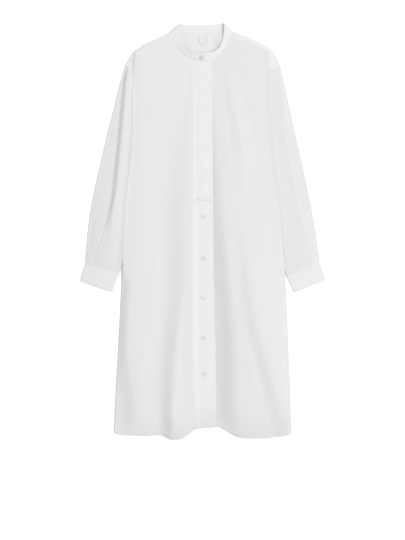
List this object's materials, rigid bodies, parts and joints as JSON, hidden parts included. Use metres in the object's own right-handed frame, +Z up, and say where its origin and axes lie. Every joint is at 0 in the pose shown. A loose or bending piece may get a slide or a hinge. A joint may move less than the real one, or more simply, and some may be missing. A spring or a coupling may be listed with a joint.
{
  "type": "shirt dress",
  "caption": "Long-sleeved knee-length shirt dress with a band collar, a concealed upper placket and a buttoned lower one, in crisp white cotton, laid flat on its back.",
  "frame": {"origin": "the middle of the footprint, on the surface that the dress lies on", "axes": "+Y along the dress from hem to collar, +X to the viewer's right of someone looking down at its front, +Z up out of its front"},
  "size_m": [0.6752, 1.1412, 0.0341],
  "materials": {
    "body_cloth": "crisp matt white cotton poplin",
    "placket_cloth": "doubled and pressed white cotton poplin",
    "collar_cloth": "stiffened white cotton poplin",
    "sleeve_cloth": "crisp matt white cotton poplin",
    "cuff_cloth": "stiffened white cotton poplin",
    "loop_tape": "plain woven white tape",
    "button_pearl": "pale pearl resin, softly glossy"
  },
  "bodies": {
    "root": {"back_panel": "body_cloth", "back_yoke": "body_cloth", "front_over": "body_cloth", "front_under": "body_cloth", "placket_upper": "placket_cloth", "placket_lower": "placket_cloth", "collar_band": "collar_cloth", "sleeve_left": "sleeve_cloth", "sleeve_right": "sleeve_cloth", "cuff_left": "cuff_cloth", "cuff_right": "cuff_cloth", "hanger_loop": "loop_tape", "button_collar": "button_pearl", "button_1": "button_pearl", "button_2": "button_pearl", "button_3": "button_pearl", "button_4": "button_pearl", "button_5": "button_pearl"}
  },
  "joints": []
}
